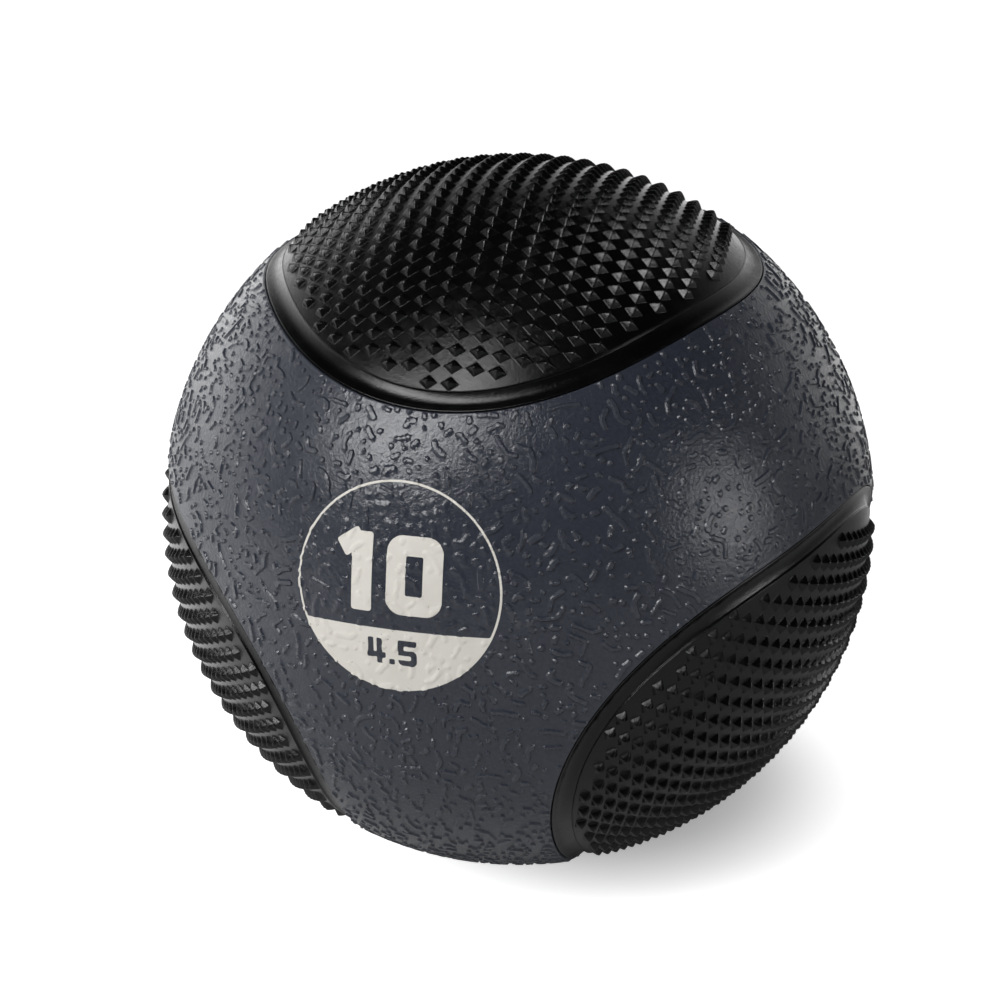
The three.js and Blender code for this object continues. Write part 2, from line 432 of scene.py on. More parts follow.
def web_layer(rows, distances, even_rows, radius):
    """Points at distances from one panel's seam, then in even rows out to its cell's edge."""
    around = np.arange(WEB_AROUND) * FULL_TURN / WEB_AROUND
    start = reach(around) + SEAM_GAP / 2 / BALL
    end = cell_edge(around)
    near = start[:, None] + distances[None, :] / BALL
    last = near[:, -1:]
    share = np.arange(1, even_rows + 1) / even_rows
    far = last + (end[:, None] - last) * share[None, :]
    angle = np.concatenate([near, far], axis=1)
    return on_sphere(rows, angle, around[:, None] + 0 * angle, radius + 0 * angle)


def grid_faces(around, columns, offset, flip):
    """Quads of a grid that closes on itself around."""
    i, j = np.meshgrid(np.arange(around), np.arange(columns - 1), indexing="ij")
    a = offset + i * columns + j
    b = offset + i * columns + j + 1
    c = offset + (i + 1) % around * columns + j + 1
    d = offset + (i + 1) % around * columns + j
    quads = np.stack([a, b, c, d], axis=-1).reshape(-1, 4)
    return quads[:, ::-1] if flip else quads


def build_web(material):
    """The cover: a shell round the four panels, with its marks raised and a hole for the valve."""
    points, faces = [], []
    count = 0
    for rows in PANEL_FRAMES.values():
        outer = web_layer(rows, BEAD[:, 0] * MM, WEB_ROWS, BALL)
        inner = web_layer(rows, np.array([0.0]), WEB_INNER_ROWS, COVER_INNER)
        columns = outer.shape[1]
        inner_columns = inner.shape[1]
        faces.append(grid_faces(WEB_AROUND, columns, count, flip=False))
        inner_start = count + WEB_AROUND * columns
        faces.append(grid_faces(WEB_AROUND, inner_columns, inner_start, flip=True))
        here = np.arange(WEB_AROUND)
        after = (here + 1) % WEB_AROUND
        wall = [
            count + here * columns,
            count + after * columns,
            inner_start + after * inner_columns,
            inner_start + here * inner_columns,
        ]
        faces.append(np.stack(wall, axis=-1))
        points += [outer.reshape(-1, 3), inner.reshape(-1, 3)]
        count = inner_start + WEB_AROUND * inner_columns
    points, faces = weld(np.concatenate(points), faces)

    radius = np.linalg.norm(points, axis=1)
    is_outer = radius > (BALL + COVER_INNER) / 2
    outer = points[is_outer]
    movable = seam_distance(outer) - SEAM_GAP / 2 > BEAD_CLEAR
    outer, outside = snap_to_marks(outer, movable)
    from_seam = seam_distance(outer) - SEAM_GAP / 2
    bead = np.interp(from_seam / MM, BEAD[:, 0], BEAD[:, 1]) * MM
    fade = smoothstep(from_seam / MARK_FADE)
    from_valve = np.linalg.norm(outer - VALVE_AXIS * BALL, axis=1)
    boss = np.interp(from_valve / MM, BOSS[:, 0], BOSS[:, 1], right=0) * MM
    lifted = BALL + bead + boss + mark_height(outer, outside) * fade
    points[is_outer] = outer * (lifted / BALL)[:, None]
    points[:, 2] = np.maximum(points[:, 2], FLOOR_Z)

    mesh = new_mesh("cover_rubber", points, faces)
    web = new_object("cover_rubber", mesh, material)
    thin = web.modifiers.new("thin", "DECIMATE")
    thin.ratio = WEB_FACES / (2 * sum(len(f) for f in faces))
    apply_modifiers(web)
    cut_valve_hole(web)
    shade(web, WEB_SHARP)
    return web


def cut_valve_hole(web):
    """Opens the cover round the valve housing's end."""
    hole = np.linalg.norm(np.cross(node_points("valve_housing"), VALVE_AXIS), axis=1)
    tall = node_points("valve_housing") @ VALVE_AXIS
    radius = hole[tall > COVER_INNER].max() + SEAM_GAP
    mesh = bpy.data.meshes.new("hole_cutter")
    shape = bmesh.new()
    turn = Vector((0, 0, 1)).rotation_difference(Vector(VALVE_AXIS)).to_matrix().to_4x4()
    middle = Matrix.Translation(Vector(VALVE_AXIS) * BALL)
    bmesh.ops.create_cone(
        shape,
        cap_ends=True,
        segments=HOLE_SEGMENTS,
        radius1=radius,
        radius2=radius,
        depth=HOLE_DEPTH,
        matrix=middle @ turn,
    )
    shape.to_mesh(mesh)
    shape.free()
    cutter = add_object("hole_cutter", mesh)
    cut = web.modifiers.new("hole", "BOOLEAN")
    cut.operation = "DIFFERENCE"
    cut.solver = "EXACT"
    cut.object = cutter
    apply_modifiers(web)
    bpy.data.objects.remove(cutter)


# ---------------------------------------------------------------- the grip panels

# The grid of studs, on the plane that the sphere is projected to from the far side.
STUD_PITCH_X = 2.71 * DEG * BALL
STUD_PITCH_Y = 3.31 * DEG * BALL
STUD_HEIGHT = 1.85 * MM
# A stud's width as a share of its cell's.
STUD_FILL = 0.91
# What is cut off its corners: this length, or this share of a side where that is less.
STUD_EDGE = 0.30 * MM
STUD_EDGE_SHARE = 0.3
# How far inside the field's outline a stud's foot must lie. It may cross it a little.
STUD_MARGIN = -0.26 * MM
STUD_RING = 16
# Depth of the studs' ground below the ball's surface.
FIELD_DEPTH = 1.05 * MM
# Half the grid's width, in reaches of a panel.
FIELD_SPAN = 1.25
# Cells further than this outside the field are left out.
CELL_MARGIN = 2 * MM
# Points this near the field's outline are moved on to it.
FIELD_SNAP = 0.22 * MM
BISECTIONS = 30
RIM_WIDTH = 6.0 * MM
RIM_SIDE_EXTRA = 0.5 * MM
RIM_DRIFT = 0.3 * MM
UNDERSIDE_RINGS = (0.75, 0.5, 0.25)
PANEL_SHARP = 12

# Each ring of a stud, as shares of its half width and of its height.
STUD_RINGS = [(1.0, 0.0), (0.95, 0.045), (0.84, 0.20), (0.68, 0.41)]
STUD_RINGS += [(0.50, 0.62), (0.32, 0.80), (0.17, 0.915), (0.08, 0.96)]
STUD_TIP = 0.975
# Above this share of its height a stud's edges are shaded smooth.
STUD_SHOULDER = 0.80

# The hollow rim, from the field of studs out to the seam: distance from the seam and height, in mm.
RIM = [(5.85, -0.93), (5.70, -0.98), (5.60, -1.15), (5.50, -1.42), (5.35, -1.56), (5.00, -1.66)]
RIM += [(4.40, -1.78), (3.70, -1.86), (3.00, -1.86), (2.30, -1.74), (1.70, -1.50), (1.15, -1.14)]
RIM += [(0.75, -0.80), (0.45, -0.58), (0.22, -0.50), (0.06, -0.54), (0.0, -0.70)]


def clip_faces(faces, depth, crossing):
    """The triangles' part where the depth is positive. crossing() gives the point on a cut edge."""
    kept = []
    for face in faces:
        if max(depth[v] for v in face) <= 0:
            continue
        loop = []
        for a, b in zip(face, face[1:] + face[:1]):
            if depth[a] >= 0:
                loop.append(a)
            if depth[a] * depth[b] < 0:
                loop.append(crossing(a, b))
        kept += [(loop[0], loop[k], loop[k + 1]) for k in range(1, len(loop) - 1)]
    return kept


def plane_to_sphere(x, y):
    """Angle and heading on the sphere of a point on the projection plane."""
    return 2 * np.arctan(np.hypot(x, y) / 2 / BALL), np.arctan2(y, x)


def rim_width(around):
    """The rim's width at a heading. It is least at the corner that points away from the x axis."""
    along_sides = np.minimum(1, 2 * (1 + np.cos(3 * around)))
    return RIM_WIDTH + RIM_SIDE_EXTRA * along_sides + RIM_DRIFT * (1 + np.cos(around))


def inside_field(x, y):
    """Distance inside the field of studs' edge, in metres."""
    angle, around = plane_to_sphere(x, y)
    return (reach(around) - angle) * BALL - rim_width(around)


class Field:
    """The field of studs as triangles on the projection plane, clipped to its outline."""

    def __init__(self):
        self.points = []
        self.keys = {}
        self.faces = []
        self.cuts = {}
        self.build()

    def corner(self, i, j):
        """A point of the quarter-pitch grid, shared by the cells that touch it."""
        key = (i, j)
        if key not in self.keys:
            self.keys[key] = len(self.points)
            self.points.append([i * STUD_PITCH_X / 4, j * STUD_PITCH_Y / 4, 0.0])
        return self.keys[key]

    def build(self):
        reach_cells = int(PANEL_REACH * BALL * FIELD_SPAN / STUD_PITCH_X) + 1
        for column in range(-reach_cells, reach_cells + 1):
            for row in range(-reach_cells, reach_cells + 1):
                self.cell(column, row)
        self.clip()

    def cell(self, column, row):
        """One cell of the grid: a stud where it has room, flat ground elsewhere."""
        x = column * STUD_PITCH_X
        y = (row + 0.5) * STUD_PITCH_Y
        half_x, half_y = STUD_PITCH_X / 2, STUD_PITCH_Y / 2
        sides = [(x - half_x, y - half_y), (x + half_x, y - half_y)]
        sides += [(x - half_x, y + half_y), (x + half_x, y + half_y), (x, y)]
        if max(inside_field(*side) for side in sides) < -CELL_MARGIN:
            return
        i, j = 4 * column, 4 * row + 2
        tip_x, tip_y = half_x * STUD_FILL, half_y * STUD_FILL
        tips = [(x + tip_x, y), (x - tip_x, y), (x, y + tip_y), (x, y - tip_y)]
        quarter = [(x + a * half_x / 2, y + b * half_y / 2) for a in (-1, 1) for b in (-1, 1)]
        if min(inside_field(*tip) for tip in tips + quarter) > STUD_MARGIN:
            self.stud(x, y, i, j)
        else:
            self.flat(i, j)

    def flat(self, i, j):
        for a in range(i - 2, i + 2):
            for b in range(j - 2, j + 2):
                p, q = self.corner(a, b), self.corner(a + 1, b)
                r, s = self.corner(a + 1, b + 1), self.corner(a, b + 1)
                self.faces += [(p, q, r), (p, r, s)]

    def stud(self, x, y, i, j):
        """A four-sided stud with softened edges, and the flat ground in its cell's corners."""
        rings = []
        for width, height in STUD_RINGS:
            start = len(self.points)
            for px, py in self.rhombus(width * STUD_FILL):
                self.points.append([x + px, y + py, height * STUD_HEIGHT])
            rings.append(list(range(start, start + STUD_RING)))
        rim = [(2, 0), (2, 1), (2, 2), (1, 2), (0, 2), (-1, 2), (-2, 2), (-2, 1)]
        rim += [(-a, -b) for a, b in rim]
        outside = [self.corner(i + a, j + b) for a, b in rim]
        loops = [outside] + rings
        for wide, narrow in zip(loops, loops[1:]):
            for k in range(STUD_RING):
                n = (k + 1) % STUD_RING
                self.faces += [(wide[k], wide[n], narrow[n]), (wide[k], narrow[n], narrow[k])]
        tip = len(self.points)
        self.points.append([x, y, STUD_TIP * STUD_HEIGHT])
        for k in range(STUD_RING):
            self.faces.append((rings[-1][k], rings[-1][(k + 1) % STUD_RING], tip))

    def rhombus(self, share):
        """A ring of a stud: per quarter, the corner with its two cut sides, and a side's middle."""
        tips = [(STUD_PITCH_X / 2, 0), (0, STUD_PITCH_Y / 2), (-STUD_PITCH_X / 2, 0)]
        tips.append((0, -STUD_PITCH_Y / 2))
        tips = [np.array(tip) * share for tip in tips]
        ring = []
        for k in range(4):
            before, tip, after = tips[k - 1], tips[k], tips[(k + 1) % 4]
            cut = min(STUD_EDGE, STUD_EDGE_SHARE * np.linalg.norm(after - tip))
            left = tip + (before - tip) / np.linalg.norm(before - tip) * cut
            right = tip + (after - tip) / np.linalg.norm(after - tip) * cut
            ring += [left, tip * 0.5 + (left + right) * 0.25, right, (tip + after) / 2]
        return ring[1:] + ring[:1]

    def crossing(self, a, b):
        """The point where an edge crosses the outline, shared by both of its triangles."""
        key = (min(a, b), max(a, b))
        if key not in self.cuts:
            pa, pb = np.array(self.points[key[0]]), np.array(self.points[key[1]])
            low, high = 0.0, 1.0
            sign = self.depth[key[0]] > 0
            for _ in range(BISECTIONS):
                middle = (low + high) / 2
                p = pa + (pb - pa) * middle
                if (inside_field(p[0], p[1]) > 0) == sign:
                    low = middle
                else:
                    high = middle
            self.cuts[key] = len(self.points)
            self.points.append(list(pa + (pb - pa) * low))
        return self.cuts[key]

    def clip(self):
        """Keeps what is inside the outline. Points almost on it are first moved on to it."""
        array = np.array(self.points)
        depth = inside_field(array[:, 0], array[:, 1])
        snap = np.abs(depth) < FIELD_SNAP
        for index in np.nonzero(snap)[0]:
            around = plane_to_sphere(*self.points[index][:2])[1]
            edge = reach(around) - rim_width(around) / BALL
            far = 2 * BALL * math.tan(edge / 2)
            self.points[index] = [far * math.cos(around), far * math.sin(around), 0.0]
        depth[snap] = 0
        self.depth = depth
        self.faces = clip_faces(self.faces, depth, self.crossing)
        self.edge = {int(i) for i in np.nonzero(snap)[0]} | set(self.cuts.values())


def panel_geometry():
    """One grip panel about +Z: its studs, hollow rim, side wall and underside, in one mesh."""
    field = Field()
    faces = np.array(field.faces)
    used, faces = np.unique(faces, return_inverse=True)
    faces = faces.reshape(-1, 3)
    array = np.array(field.points)[used]
    angle, around = plane_to_sphere(array[:, 0], array[:, 1])
    identity = np.eye(3)
    points = on_sphere(identity, angle, around, BALL - FIELD_DEPTH + array[:, 2])

    edge = np.array([k for k, index in enumerate(used) if int(index) in field.edge])
    edge = edge[np.argsort(around[edge])]
    headings = around[edge]
    seam = reach(headings) - SEAM_GAP / 2 / BALL
    loops = [edge]
    count = len(points)
    rings = [points]

    def add_ring(ring_angle, radius):
        nonlocal count
        rings.append(on_sphere(identity, ring_angle, headings, radius + 0 * headings))
        loops.append(np.arange(count, count + len(headings)))
        count += len(headings)

    stretch = rim_width(headings) / RIM_WIDTH
    for distance, height in np.array(RIM) * MM:
        add_ring(seam - distance * stretch / BALL, BALL + height)
    add_ring(seam, COVER_INNER)
    for share in UNDERSIDE_RINGS:
        add_ring(seam * share, COVER_INNER)
    rings.append(np.array([[0.0, 0.0, COVER_INNER]]))
    quads = []
    for inner, outer in zip(loops, loops[1:]):
        after_inner, after_outer = np.roll(inner, -1), np.roll(outer, -1)
        quads.append(np.stack([inner, outer, after_outer, after_inner], axis=-1))
    last = loops[-1]
    hub = np.stack([last, np.full(len(last), count), np.roll(last, -1)], axis=-1)
    return np.concatenate(rings), [faces, hub, np.concatenate(quads)]


def soften_tips(mesh):
    """Shades the studs' rounded tips smoothly."""
    height = np.linalg.norm(mesh_points(mesh), axis=1) - (BALL - FIELD_DEPTH)
    high = height > STUD_SHOULDER * STUD_HEIGHT
    ends = np.empty(len(mesh.edges) * 2, np.int32)
    mesh.edges.foreach_get("vertices", ends)
    sharp = mesh.attributes["sharp_edge"].data
    values = np.empty(len(mesh.edges), bool)
    sharp.foreach_get("value", values)
    values &= ~high[ends.reshape(-1, 2)].all(axis=1)
    sharp.foreach_set("value", values)


def build_panels(material):
    """The four grip panels, all one shape."""
    points, faces = panel_geometry()
    for name, rows in PANEL_FRAMES.items():
        mesh = new_mesh("grip_" + name, points @ rows, faces)
        panel = new_object("grip_" + name, mesh, material)
        shade(panel, PANEL_SHARP)
        soften_tips(panel.data)
        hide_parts("grip_panel_" + name)
        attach(panel, "root")


# ---------------------------------------------------------------- the printed badge

# The circle's line, and the height of the filled part's straight edge.
BADGE_LINE = 0.62 * MM
BADGE_CHORD = -10.9 * MM
# Each number's text, middle, base line and height, and its line width as a share of the height.
LARGE_NUMBER = ("10", -1.2 * MM, -6.6 * MM, 21 * MM, 0.25)
SMALL_NUMBER = ("4.5", -0.6 * MM, -20.8 * MM, 7.2 * MM, 0.22)
# The characters' advances and a round numeral's size, as shares of the height.
ADVANCES = {"1": 0.62, ".": 0.36}
DIGIT_ADVANCE = 0.84
DIGIT_HALF_WIDTH = 0.36
DIGIT_CORNER = 0.21
LEAST_CORNER = 0.4 * MM
FLAG_TILT = 0.6
INK_STEP = 0.42 * MM
INK_TOP = 0.10 * MM
INK_BOTTOM = -0.10 * MM
INK_SHARP = 60
# Grid points this near the ink's edge count as on it, as a share of the step.
INK_SNAP = 0.04


def box_distance(x, y, cx, cy, half_width, half_height, corner=0.0):
    """Signed distance to a box with round corners, negative inside."""
    dx = np.abs(x - cx) - half_width + corner
    dy = np.abs(y - cy) - half_height + corner
    outside = np.hypot(np.maximum(dx, 0), np.maximum(dy, 0))
    return outside + np.minimum(np.maximum(dx, dy), 0) - corner


def digit_distance(digit, x, y, height, weight):
    """Signed distance to a plain upright numeral, standing on y = 0 with its middle at x = 0."""
    line = weight * height
    half_width = DIGIT_HALF_WIDTH * height
    half = height / 2

    def bar(cx, cy, half_w, half_h, corner=0.04):
        return box_distance(x, y, cx, cy, half_w, half_h, corner * height)

    if digit == "0":
        outer = bar(0, half, half_width, half, DIGIT_CORNER)
        inner_corner = max(DIGIT_CORNER * height - line, LEAST_CORNER)
        inner = box_distance(x, y, 0, half, half_width - line, half - line, inner_corner)
        return np.maximum(outer, -inner)
    if digit == "1":
        stem = bar(0.04 * height, half, line / 2 * 1.1, half)
        across, up = x + 0.11 * height, y - 0.86 * height
        u = across * math.cos(FLAG_TILT) + up * math.sin(FLAG_TILT)
        v = -across * math.sin(FLAG_TILT) + up * math.cos(FLAG_TILT)
        flag = box_distance(u, v, 0, 0, 0.17 * height, line / 2, 0.03 * height)
        return np.minimum(stem, flag)
    if digit == "4":
        right = bar(0.12 * height, half, line / 2, half)
        left = bar(-0.22 * height, 0.66 * height, line / 2, 0.34 * height)
        middle = bar(0, 0.34 * height, half_width, line / 2)
        return np.minimum(np.minimum(right, left), middle)
    if digit == "5":
        top = bar(0, height - line / 2, half_width - 0.01 * height, line / 2)
        left = bar(-half_width + line / 2, 0.76 * height, line / 2, 0.24 * height)
        bowl_outer = bar(0, 0.31 * height, half_width, 0.31 * height, 0.2)
        bowl_inner = bar(0, 0.31 * height, half_width - line, 0.31 * height - line, 0.06)
        gap = bar(-half_width, 0.31 * height, line * 1.2, 0.31 * height - line, 0.0)
        bowl = np.maximum(np.maximum(bowl_outer, -bowl_inner), -gap)
        return np.minimum(np.minimum(top, left), bowl)
    return box_distance(x, y, 0, line / 2, line / 2, line / 2, 0.04 * height)


def number_distance(x, y, text, centre_x, base_y, height, weight):
    """Signed distance to a row of numerals."""
    widths = [ADVANCES.get(digit, DIGIT_ADVANCE) * height for digit in text]
    at = centre_x - sum(widths) / 2
    nearest = np.full(np.shape(x), np.inf)
    for digit, width in zip(text, widths):
        middle = at + width / 2
        shape = digit_distance(digit, x - middle, y - base_y, height, weight)
        nearest = np.minimum(nearest, shape)
        at += width
    return nearest


def badge_depth(x, y):
    """Distance inside the printed ink, in metres, negative where the rubber shows."""
    r = np.hypot(x, y)
    ring = BADGE_LINE / 2 - np.abs(r - BADGE_RADIUS + BADGE_LINE / 2)
    lower = np.minimum(BADGE_RADIUS - r, BADGE_CHORD - y)
    lower = np.minimum(lower, number_distance(x, y, *SMALL_NUMBER))
    numerals = -number_distance(x, y, *LARGE_NUMBER)
    return np.maximum(np.maximum(ring, lower), numerals)


def clipped_grid(depth_of, half_size, step):
    """Triangles of the region of a square grid where a depth is positive, and their points."""
    count = int(half_size / step)
    line = np.arange(-count, count + 1) * step
    x, y = np.meshgrid(line, line, indexing="ij")
    depth = depth_of(x, y)
    side = 2 * count + 1
    points = list(zip(x.ravel(), y.ravel()))
    values = depth.ravel()
    values = np.where(np.abs(values) < step * INK_SNAP, 0.0, values)
    cuts = {}

    def crossing(a, b):
        key = (min(a, b), max(a, b))
        if key not in cuts:
            share = values[key[0]] / (values[key[0]] - values[key[1]])
            pa, pb = points[key[0]], points[key[1]]
            cuts[key] = len(points)
            points.append((pa[0] + (pb[0] - pa[0]) * share, pa[1] + (pb[1] - pa[1]) * share))
        return cuts[key]

    near = values.reshape(side, side)
    touched = np.maximum.reduce([near[:-1, :-1], near[1:, :-1], near[:-1, 1:], near[1:, 1:]]) > 0
    faces = []
    for i, j in zip(*np.nonzero(touched)):
        p, q = i * side + j, (i + 1) * side + j
        r, s = q + 1, p + 1
        faces += [(p, q, r), (p, r, s)]
    faces = np.array(clip_faces(faces, values, crossing))
    used, faces = np.unique(faces, return_inverse=True)
    return np.array(points)[used], faces.reshape(-1, 3)


def build_badge(material):
    """The ink as a thin closed film that follows the moulded marks."""
    right = unit(np.cross((0, 0, 1), BADGE_CENTRE))
    rows = np.array([right, np.cross(BADGE_CENTRE, right), BADGE_CENTRE])
    flat, faces = clipped_grid(badge_depth, BADGE_RADIUS + 1 * MM, INK_STEP)
    angle = np.hypot(flat[:, 0], flat[:, 1]) / BALL
    around = np.arctan2(flat[:, 1], flat[:, 0])
    ground = on_sphere(rows, angle, around, BALL + 0 * angle)
    height = BALL + mark_height(ground, mark_edges(ground)[0])
    top = ground * ((height + INK_TOP) / BALL)[:, None]
    bottom = ground * ((height + INK_BOTTOM) / BALL)[:, None]
    count = len(top)
    edges = {}
    for face in faces.tolist():
        for a, b in zip(face, face[1:] + face[:1]):
            edges[(a, b)] = True
    walls = [(b, a, a + count, b + count) for a, b in edges if (b, a) not in edges]
    mesh = new_mesh(
        "badge_print", np.concatenate([top, bottom]), [faces, faces[:, ::-1] + count, walls]
    )
    badge = new_object("badge_print", mesh, material)
    shade(badge, INK_SHARP)
    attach(badge, "root")


# ---------------------------------------------------------------- materials

EDGE_SAMPLES = 4
# The range that most of a noise's values lie in.
NOISE_LOW, NOISE_HIGH = 0.3, 0.7


class Tree:
    """Short calls for a node tree. Each input takes a value or another node's output."""

    def __init__(self, tree):
        self.tree = tree

    def put(self, socket, value):
        if isinstance(value, bpy.types.NodeSocket):
            self.tree.links.new(value, socket)
        else:
            socket.default_value = value

    def new(self, kind, inputs=None, **properties):
        node = self.tree.nodes.new(kind)
        for name, value in properties.items():
            setattr(node, name, value)
        for name, value in (inputs or {}).items():
            self.put(node.inputs[name], value)
        return node

    def remap(self, value, low, high, to_low, to_high):
        """Moves a range of values to another, and holds what lies outside at its ends."""
        ends = {"From Min": low, "From Max": high, "To Min": to_low, "To Max": to_high}
        return self.new("ShaderNodeMapRange", {"Value": value, **ends}).outputs["Result"]

    def math(self, operation, a, b):
        return self.new("ShaderNodeMath", {0: a, 1: b}, operation=operation).outputs["Value"]

    def mix(self, share, a, b):
        """Mixes two colours, each an output or (r, g, b)."""
        node = self.new("ShaderNodeMix", {"Factor": share}, data_type="RGBA")
        for name, value in (("A", a), ("B", b)):
            socket = [s for s in node.inputs if s.name == name and s.type == "RGBA"][0]
            self.put(socket, (*value, 1) if isinstance(value, tuple) else value)
        return [s for s in node.outputs if s.type == "RGBA"][0]


class Paint(Tree):
    """A new material's node tree."""

    def __init__(self, name):
        self.material = bpy.data.materials.new(name)
        self.material.use_nodes = True
        super().__init__(self.material.node_tree)
        self.shader = self.tree.nodes["Principled BSDF"]
        self.place = self.new("ShaderNodeNewGeometry").outputs["Position"]

    def noise(self, scale, detail=3.0, roughness=0.5):
        """Noise in space; scale is in cycles per metre."""
        inputs = {"Scale": scale, "Detail": detail, "Roughness": roughness, "Vector": self.place}
        return self.new("ShaderNodeTexNoise", inputs).outputs["Fac"]

    def rounded(self, radius):
        """The normal with sharp edges rounded to a radius."""
        node = self.new("ShaderNodeBevel", {"Radius": radius}, samples=EDGE_SAMPLES)
        return node.outputs["Normal"]

    def bump(self, height, distance, strength=1.0, after=None):
        """The normal over a height field of a depth in metres, on top of another normal."""
        inputs = {"Strength": strength, "Distance": distance, "Height": height}
        if after is not None:
            inputs["Normal"] = after
        return self.new("ShaderNodeBump", inputs).outputs["Normal"]

    def finish(self, color, roughness, normal, gloss=0.5):
        """Joins up the shader and gives the material."""
        inputs = {"Base Color": color, "Roughness": roughness, "Normal": normal}
        inputs["Specular IOR Level"] = gloss
        for name, value in inputs.items():
            self.put(self.shader.inputs[name], value)
        return self.material


GREY_DARK, GREY_LIGHT = (0.0255, 0.0295, 0.0425), (0.0345, 0.0390, 0.0530)
GREY_SPECK, GREY_WORN = (0.047, 0.053, 0.070), (0.12, 0.125, 0.135)
BLACK_DARK, BLACK_DUSTY = (0.0020, 0.0020, 0.0021), (0.0058, 0.0056, 0.0058)
BLACK_WORN = (0.027, 0.0265, 0.027)
GREY_GLOSS, BLACK_GLOSS = 0.62, 0.43
INK_DARK, INK_LIGHT = (0.71, 0.68, 0.622), (0.76, 0.735, 0.68)
NYLON_DARK, NYLON_LIGHT = (0.50, 0.46, 0.38), (0.72, 0.68, 0.58)


def worn_edges(n, low, high):
    """Share of wear, from how sharply the surface bulges."""
    bulge = n.new("ShaderNodeNewGeometry").outputs["Pointiness"]
    return n.remap(bulge, low, high, 0.0, 1.0)


def grey_rubber():
    """Semi-gloss slate rubber: mottled, finely pebbled, paler along worn edges."""
    n = Paint("grey_cover_rubber")
    broad = n.noise(22, detail=4)
    patch = n.remap(broad, 0.35, 0.65, 0.0, 1.0)
    color = n.mix(patch, GREY_DARK, GREY_LIGHT)
    speck = n.remap(n.noise(900, detail=2), 0.35, 0.7, 0.0, 0.35)
    color = n.mix(speck, color, GREY_SPECK)
    wear = n.math("MULTIPLY", worn_edges(n, 0.52, 0.62), 0.35)
    color = n.mix(wear, color, GREY_WORN)
    grain = n.noise(2600, detail=3, roughness=0.6)
    pebble = n.noise(1000, detail=2)
    roughness = n.remap(n.noise(160, detail=4), NOISE_LOW, NOISE_HIGH, 0.14, 0.22)
    roughness = n.math("ADD", roughness, n.math("MULTIPLY", grain, 0.05))
    soft = n.bump(n.noise(240, detail=3), 0.14 * MM, 0.6, after=n.rounded(0.18 * MM))
    pebbled = n.bump(pebble, 0.18 * MM, 0.8, after=soft)
    normal = n.bump(grain, 0.09 * MM, 0.8, after=pebbled)
    return n.finish(color, roughness, normal, GREY_GLOSS)


def black_rubber():
    """Black moulded rubber: a little dusty, greyer along its worn edges."""
    n = Paint("black_grip_rubber")
    dust = n.remap(n.noise(35, detail=5), 0.45, 0.75, 0.0, 0.5)
    color = n.mix(dust, BLACK_DARK, BLACK_DUSTY)
    wear = n.math("MULTIPLY", worn_edges(n, 0.54, 0.70), 0.30)
    color = n.mix(wear, color, BLACK_WORN)
    grain = n.noise(3200, detail=3, roughness=0.6)
    roughness = n.remap(n.noise(210, detail=3), NOISE_LOW, NOISE_HIGH, 0.13, 0.22)
    roughness = n.math("ADD", roughness, n.math("MULTIPLY", grain, 0.08))
    pebbled = n.bump(n.noise(1200, detail=2), 0.08 * MM, 0.7, after=n.rounded(0.24 * MM))
    normal = n.bump(grain, 0.06 * MM, 0.8, after=pebbled)
    return n.finish(color, roughness, normal, BLACK_GLOSS)


def badge_ink():
    """Cream printed ink with a fine grain."""
    n = Paint("cream_badge_ink")
    tone = n.remap(n.noise(120, detail=4), NOISE_LOW, NOISE_HIGH, 0.0, 1.0)
    color = n.mix(tone, INK_DARK, INK_LIGHT)
    grain = n.noise(2400, detail=2)
    roughness = n.remap(n.noise(300, detail=3), NOISE_LOW, NOISE_HIGH, 0.44, 0.56)
    return n.finish(color, roughness, n.bump(grain, 0.04 * MM, 0.6))


def plain_rubber(name, dark, light, rough_low, rough_high, grain_scale):
    """An inner piece's rubber, mottled between two colours. The grain is in cycles per metre."""
    n = Paint(name)
    share = n.remap(n.noise(60, detail=5), NOISE_LOW, NOISE_HIGH, 0.0, 1.0)
    grain = n.noise(grain_scale, detail=3)
    roughness = n.remap(n.noise(250, detail=3), NOISE_LOW, NOISE_HIGH, rough_low, rough_high)
    return n.finish(n.mix(share, dark, light), roughness, n.bump(grain, 0.08 * MM, 0.8))


def wound_nylon():
    """Undyed nylon thread wound in bands."""
    n = Paint("wound_nylon")
    bands = {"Scale": 420, "Distortion": 3, "Detail": 2, "Vector": n.place}
    thread = n.new("ShaderNodeTexWave", bands, wave_type="BANDS", bands_direction="DIAGONAL")
    color = n.mix(thread.outputs["Fac"], NYLON_DARK, NYLON_LIGHT)
    roughness = n.remap(n.noise(500, detail=3), NOISE_LOW, NOISE_HIGH, 0.5, 0.7)
    return n.finish(color, roughness, n.bump(thread.outputs["Fac"], 0.3 * MM, 1.0))


# The floor is white paper. To the camera it glows, and a soft shadow of the ball is painted into
# that glow: it glows less round a centre beside the ball.
PAINTED_SHADOW_CENTRE = (34 * MM, 29 * MM)
PAINTED_SHADOW_CORE = 42 * MM
PAINTED_SHADOW_REACH = 100 * MM
PAINTED_SHADOW_GLOW = 0.28
OPEN_GLOW = 0.95
# How bright the paper is to the camera, in diffuse light and in reflections.
PAPER_SEEN = 0.90
PAPER_BOUNCE = 0.92
PAPER_GLOSS = 0.57
# Behind the ball and to its left, the paper glows to every ray but the camera's. The ball mirrors
# this painted light as brightly as the studio's back.
PAINTED_GLOW_WAY = (-0.6, 0.8, 0.0)
PAINTED_GLOW_NEAR = -20 * MM
PAINTED_GLOW_FAR = 220 * MM
PAINTED_GLOW_LEVEL = 0.9


